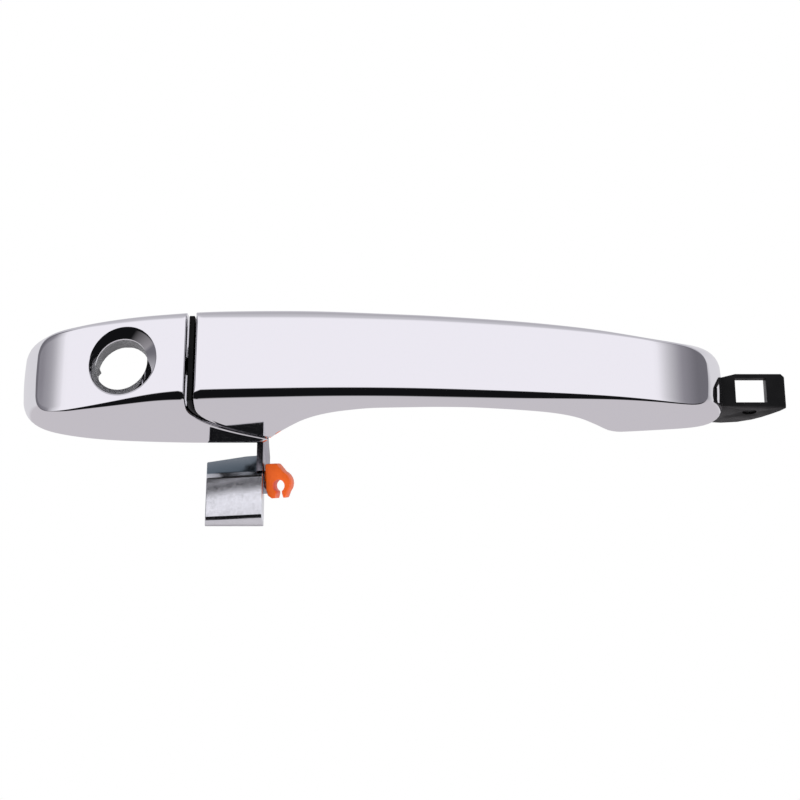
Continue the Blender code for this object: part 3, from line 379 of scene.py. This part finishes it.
def settle(obj):
    """Applies an object's modifiers."""
    graph = bpy.context.evaluated_depsgraph_get()
    mesh = bpy.data.meshes.new_from_object(obj.evaluated_get(graph), depsgraph=graph)
    obj.modifiers.clear()
    obj.data = mesh


def shade(obj):
    """Smooth shading, with the sharp edges kept sharp."""
    obj.data.shade_smooth()
    obj.data.set_sharp_from_angle(angle=math.radians(SHADE_ANGLE))


# ---- materials -------------------------------------------------------------------------------
def material(name, colour, roughness, metallic=0.0, **sockets):
    """A Principled material; sockets are set on the shader itself."""
    mat = bpy.data.materials.new(name)
    mat.use_nodes = True
    shader = mat.node_tree.nodes["Principled BSDF"]
    shader.inputs["Base Color"].default_value = (*colour, 1.0)
    shader.inputs["Roughness"].default_value = roughness
    shader.inputs["Metallic"].default_value = metallic
    for socket, value in sockets.items():
        shader.inputs[socket.replace("_", " ")].default_value = value
    return mat


def node(owner, kind, **values):
    """A node in a material or a world; each value goes on the socket or setting of its name."""
    made = owner.node_tree.nodes.new(kind)
    for key, value in values.items():
        socket = key.replace("_", " ").title()
        if socket in made.inputs:
            made.inputs[socket].default_value = value
        else:
            setattr(made, key, value)
    return made


def noise(mat, scale, detail=3.0, roughness=0.5, stretch=(1, 1, 1)):
    """A noise texture in object space; scale is in features per metre."""
    place = node(mat, "ShaderNodeTexCoord")
    mapping = node(mat, "ShaderNodeMapping", scale=stretch)
    texture = node(mat, "ShaderNodeTexNoise", scale=scale, detail=detail, roughness=roughness)
    mat.node_tree.links.new(place.outputs["Object"], mapping.inputs["Vector"])
    mat.node_tree.links.new(mapping.outputs["Vector"], texture.inputs["Vector"])
    return texture.outputs["Fac"]


def ramp(owner, source, stops):
    """A colour ramp: stops are (position, colour or grey)."""
    made = node(owner, "ShaderNodeValToRGB")
    elements = made.color_ramp.elements
    while len(elements) < len(stops):
        elements.new(0.5)
    for element, (position, value) in zip(elements, stops):
        element.position = position
        colour = value if isinstance(value, tuple) else (value, value, value)
        element.color = (*colour, 1.0)
    owner.node_tree.links.new(source, made.inputs["Fac"])
    return made.outputs["Color"]


def mix(owner, share, a, b):
    """Colour a turning into colour b; each is an output or a plain colour."""
    made = node(owner, "ShaderNodeMix", data_type="RGBA")
    owner.node_tree.links.new(share, made.inputs["Factor"])
    for socket, colour in (("A", a), ("B", b)):
        if isinstance(colour, tuple):
            made.inputs[socket].default_value = (*colour, 1.0)
        else:
            owner.node_tree.links.new(colour, made.inputs[socket])
    return made.outputs["Result"]


def bump(mat, height, strength, distance_mm):
    made = node(mat, "ShaderNodeBump", strength=strength, distance=distance_mm * MM)
    mat.node_tree.links.new(height, made.inputs["Height"])
    return made.outputs["Normal"]


def feed(mat, source, socket):
    """Links a texture to the material's shader."""
    mat.node_tree.links.new(source, mat.node_tree.nodes["Principled BSDF"].inputs[socket])


def chrome():
    """Bright plating: very low roughness, faint haze and a trace of orange peel."""
    mat = material("bright_chrome", (0.93, 0.925, 0.95), 0.03, 1.0)
    feed(mat, ramp(mat, noise(mat, 90.0, 4.0), [(0.35, 0.022), (0.75, 0.05)]), "Roughness")
    feed(mat, bump(mat, noise(mat, 240.0, 2.0), 0.05, 0.01), "Normal")
    return mat


def moulded(name, colour, rough, grain_scale, grain_mm, level=0.35):
    """Moulded plastic: flow marks in its gloss, and a fine grain."""
    mat = material(name, colour, rough, Specular_IOR_Level=level)
    light = tuple(min(c * 1.5 + 0.002, 1.0) for c in colour)
    feed(mat, ramp(mat, noise(mat, 120.0, 5.0), [(0.3, colour), (0.75, light)]), "Base Color")
    feed(mat, ramp(mat, noise(mat, 300.0, 4.0), [(0.3, rough * 0.8), (0.7, rough * 1.25)]),
         "Roughness")
    feed(mat, bump(mat, noise(mat, grain_scale, 3.0), 0.5, grain_mm), "Normal")
    return mat


def rubber():
    mat = material("moulded_rubber", (0.022, 0.022, 0.023), 0.75, Specular_IOR_Level=0.3)
    feed(mat, ramp(mat, noise(mat, 400.0, 4.0), [(0.3, 0.62), (0.7, 0.88)]), "Roughness")
    feed(mat, bump(mat, noise(mat, 2500.0), 0.6, 0.02), "Normal")
    return mat


def plated(name, colour, rough, blotch, streak, grain_mm):
    """Zinc or nickel plating: blotches, streaks and a fine grain."""
    mat = material(name, colour, rough, 1.0)
    dark = tuple(c * blotch for c in colour)
    feed(mat, ramp(mat, noise(mat, 260.0, 6.0, 0.65), [(0.25, dark), (0.7, colour)]), "Base Color")
    feed(mat, ramp(mat, noise(mat, 900.0, 5.0, 0.6, streak), [(0.3, rough * 0.7), (0.7, rough * 1.3)]),
         "Roughness")
    feed(mat, bump(mat, noise(mat, 2200.0, 4.0, 0.6, streak), 0.5, grain_mm), "Normal")
    return mat


def cast_zinc():
    """Bright casting, with painted shade: a dark slate colour on the faces that look up, standing in
    for the dark reflection on the top chamfer.
    """
    bright, painted_top_shade = (0.95, 0.965, 1.0), (0.13, 0.18, 0.22)
    mat = plated("cast_zinc", bright, 0.20, 0.90, (1, 1, 1), 0.004)
    place = node(mat, "ShaderNodeTexCoord")
    split = node(mat, "ShaderNodeSeparateXYZ")
    mat.node_tree.links.new(place.outputs["Normal"], split.inputs[0])
    # Painted shade: faces turn dark slate the more they look up, in place of the dark reflection that
    # falls there.
    top_shade_mask = ramp(mat, split.outputs["Z"], [(0.35, 0.0), (0.55, 1.0)])
    blotches = mat.node_tree.nodes["Principled BSDF"].inputs["Base Color"].links[0].from_socket
    feed(mat, mix(mat, top_shade_mask, blotches, painted_top_shade), "Base Color")
    return mat


MATERIALS = {
    "chrome": chrome(),
    "black_nylon": moulded("satin_black_nylon", (0.003, 0.003, 0.0033), 0.32, 1500.0, 0.002, 0.07),
    "black_textured": moulded("grained_black_nylon", (0.008, 0.008, 0.0085), 0.55, 1100.0, 0.06),
    "grey_nylon": moulded("grey_nylon", (0.22, 0.22, 0.23), 0.42, 1500.0, 0.0015, 0.4),
    "rubber": rubber(),
    "brass": plated("turned_brass", (0.83, 0.62, 0.30), 0.25, 0.8, (1, 12, 1), 0.01),
    "steel": plated("plated_steel", (0.62, 0.63, 0.65), 0.22, 0.85, (1, 1, 1), 0.006),
    "zinc_steel": plated("zinc_sheet", (0.42, 0.40, 0.45), 0.24, 0.8, (1, 1, 8), 0.003),
    "cast_zinc": cast_zinc(),
    "orange_acetal": moulded("orange_acetal", (0.80, 0.105, 0.008), 0.40, 900.0, 0.004, 0.25),
}


def paint(obj, slot):
    """Gives all of an object one material."""
    obj.data.materials.clear()
    obj.data.materials.append(MATERIALS[slot])
    for face in obj.data.polygons:
        face.material_index = 0


# ---- chromed shells --------------------------------------------------------------------------
def lean_to_face(mesh):
    """Shears a mesh with the face's lean, and shifts its bore towards the key end."""
    face = FACE_DEPTH(LOCK_X) * MM
    for v in mesh.vertices:
        depth = min(max((v.co.y - face) / (LOCK_FUNNEL * MM), 0.0), 1.0)
        v.co.y += (v.co.x - LOCK_X * MM) * LOCK_LEAN
        v.co.x += LOCK_SHIFT * MM * depth
    return mesh


def lock_mouth():
    """Cutter for the key opening: rounded lip, funnel and straight bore."""
    face = FACE_DEPTH(LOCK_X)
    steep = (LOCK_MOUTH_R - LOCK_BORE_R) / LOCK_FUNNEL
    tilt = math.atan(1 / steep)
    rim = LOCK_MOUTH_R + LOCK_LIP
    profile = [(rim + 1.5, face - 3.0), (rim + 0.35, face - 0.35)]
    for k in range(LIP_STEPS + 1):
        turn = tilt * k / LIP_STEPS
        profile.append((rim - LOCK_LIP * math.sin(turn) * LIP_SPREAD,
                        face + LOCK_LIP * (1 - math.cos(turn))))
    profile.append((LOCK_BORE_R, face + LOCK_FUNNEL))
    profile.append((LOCK_BORE_R, face + CUT_DEPTH))
    return lean_to_face(turned_y(profile, LOCK_X, LOCK_Z))


def key_cap():
    """The cap's shell with its lock collar, screw posts, key opening, ring seat and window."""
    cap = shell_object("chromed_key_cap", Side("cap"), CAP_GRID)
    face = FACE_DEPTH(LOCK_X)
    collar = turned_y([(COLLAR_R, face + COLLAR_START), (COLLAR_R, face + COLLAR_DEPTH)],
                      LOCK_X, LOCK_Z)
    combine(cap, lean_to_face(collar), "UNION")
    for x, z in POSTS:
        ends = [(POST_R, FACE_DEPTH(x) + POST_START), (POST_R, POST_END_Y)]
        combine(cap, turned_y(ends, x, z, POST_SIDES), "UNION")
    combine(cap, lock_mouth(), "DIFFERENCE")
    seat = turned_y([(RING_R + GAP, face + RING_DEPTH - GAP), (RING_R + GAP, face + CUT_DEPTH)],
                    LOCK_X, LOCK_Z)
    combine(cap, lean_to_face(seat), "DIFFERENCE")
    combine(cap, box_mesh(*CAP_WINDOW), "DIFFERENCE")
    shade(cap)
    paint(cap, "chrome")
    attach(cap, "root")
    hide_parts("key_cap")


def grip_cover():
    """The grip's shell with the window for its leg."""
    cover = shell_object("chromed_grip_cover", Side("grip"), COVER_GRID)
    combine(cover, box_mesh(*COVER_WINDOW), "DIFFERENCE")
    shade(cover)
    paint(cover, "chrome")
    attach(cover, "grip")
    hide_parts("grip_cover")


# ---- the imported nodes, with eased edges ------------------------------------------------------
def ease_node(name, obj):
    """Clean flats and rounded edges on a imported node."""
    weld = obj.modifiers.new("weld", "WELD")
    weld.merge_threshold = WELD * MM
    flats = obj.modifiers.new("flats", "DECIMATE")
    flats.decimate_type = "DISSOLVE"
    flats.angle_limit = math.radians(FLAT_ANGLE)
    if name in EASE:
        edge = obj.modifiers.new("edge", "BEVEL")
        edge.width = EASE[name] * MM
        edge.segments = 3
        edge.limit_method = "ANGLE"
        edge.angle_limit = math.radians(EDGE_ANGLE)
        edge.harden_normals = True
    obj.data.shade_smooth()
    smooth = obj.modifiers.new("smooth", "EDGE_SPLIT")
    smooth.split_angle = math.radians(SPLIT_ANGLE)
    smooth.use_edge_sharp = False


def dress_nodes():
    for name, obj in frame["nodes"].items():
        if name not in REBUILT:
            ease_node(name, obj)
            paint(obj, SLOTS[name])


# ---- world, lights, floor and camera ---------------------------------------------------------
def studio_world():
    """White all round; what gloss sees is a white front card with dark edges and a dark floor line."""
    world = bpy.data.worlds.new("studio")
    bpy.context.scene.world = world
    world.use_nodes = True
    world.node_tree.nodes.clear()
    link = world.node_tree.links.new

    def calculate(operation, a, b=None):
        made = node(world, "ShaderNodeMath", operation=operation)
        for socket, value in zip(made.inputs, (a, b)):
            if isinstance(value, float):
                socket.default_value = value
            elif value is not None:
                link(value, socket)
        return made.outputs[0]

    place = node(world, "ShaderNodeTexCoord")
    split = node(world, "ShaderNodeSeparateXYZ")
    link(place.outputs["Generated"], split.inputs[0])
    x, y, z = split.outputs
    # around: share of a half turn away from the front. across: from behind on the left, through
    # the front at 0.5, to behind on the right. up: share of the way from nadir to zenith.
    turn = calculate("DIVIDE", calculate("ARCTAN2", x, calculate("MULTIPLY", y, -1.0)), math.pi)
    around = calculate("ABSOLUTE", turn)
    across = calculate("ADD", calculate("MULTIPLY", turn, 0.5), 0.5)
    up = calculate("ADD", calculate("DIVIDE", calculate("ARCSINE", z), math.pi), 0.5)

    backdrop, card, white = (0.70, 0.69, 0.72), (0.90, 0.88, 0.93), (1.0, 1.0, 1.0)
    flag, flag_edge, card_edge = (0.16, 0.155, 0.175), (0.28, 0.27, 0.30), (0.55, 0.54, 0.57)
    under_front, under_back = (0.006, 0.006, 0.007), (0.57, 0.545, 0.575)
    sides = ramp(world, across, [(0.0, backdrop), (0.19, backdrop), (0.24, flag), (0.338, flag),
                                 (0.3405, flag_edge), (0.3422, card_edge), (0.348, card),
                                 (0.62, card), (0.631, card_edge), (0.643, flag_edge),
                                 (0.66, flag), (0.76, flag), (0.81, backdrop), (1.0, backdrop)])
    overhead = ramp(world, up, [(0.70, (0.62, 0.61, 0.65)), (1.0, (0.42, 0.41, 0.44))])
    above = ramp(world, up, [(0.68, 0.0), (0.76, 1.0)])
    behind = ramp(world, around, [(0.40, 0.0), (0.58, 1.0)])
    nadir = ramp(world, up, [(0.03, 1.0), (0.09, 0.0)])
    below = ramp(world, up, [(0.505, 1.0), (0.535, 0.0)])
    upper = mix(world, above, sides, overhead)
    under = mix(world, nadir, mix(world, behind, under_front, under_back), under_back)
    gloss = mix(world, below, upper, under)

    path = node(world, "ShaderNodeLightPath")
    seen = node(world, "ShaderNodeBackground")
    link(mix(world, path.outputs["Is Glossy Ray"], white, gloss), seen.inputs["Color"])
    link(seen.outputs[0], node(world, "ShaderNodeOutputWorld").inputs[0])


def area_light(name, place, size, power):
    """A soft light, in metres and watts, aimed at the middle of the handle."""
    light = bpy.data.lights.new(name, "AREA")
    light.shape = "RECTANGLE"
    light.size, light.size_y = size
    light.energy = power
    obj = bpy.data.objects.new(name, light)
    bpy.context.scene.collection.objects.link(obj)
    obj.location = place
    aim = Vector(LIGHT_TARGET) - obj.location
    obj.rotation_euler = aim.to_track_quat("-Z", "Y").to_euler()
    obj.visible_glossy = False
    obj.visible_camera = False


def studio():
    studio_world()
    area_light("key", (-0.5, -0.9, 0.7), (0.6, 0.4), 9.0)
    area_light("fill", (0.9, -0.7, 0.2), (0.5, 0.5), 3.0)
    bm = bmesh.new()
    bmesh.ops.create_grid(bm, x_segments=1, y_segments=1, size=FLOOR_SIZE)
    bmesh.ops.translate(bm, vec=FLOOR_AT, verts=bm.verts)
    floor = new_object("studio_floor", to_mesh(bm, "studio_floor"))
    floor.data.materials.append(material("floor", (0.86, 0.86, 0.86), 0.8))
    floor.visible_glossy = False


def camera():
    """Square on to the length, from in front and 20 degrees below."""
    lens = bpy.data.cameras.new("camera")
    lens.lens = LENS
    lens.sensor_width = SENSOR
    obj = bpy.data.objects.new("camera", lens)
    bpy.context.scene.collection.objects.link(obj)
    obj.location = Vector(CAMERA_AT) * MM
    obj.rotation_euler = (math.radians(CAMERA_TILT), 0.0, 0.0)
    bpy.context.scene.camera = obj
    bpy.context.scene.view_settings.view_transform = "Standard"


camera()
studio()
dress_nodes()
key_cap()
grip_cover()
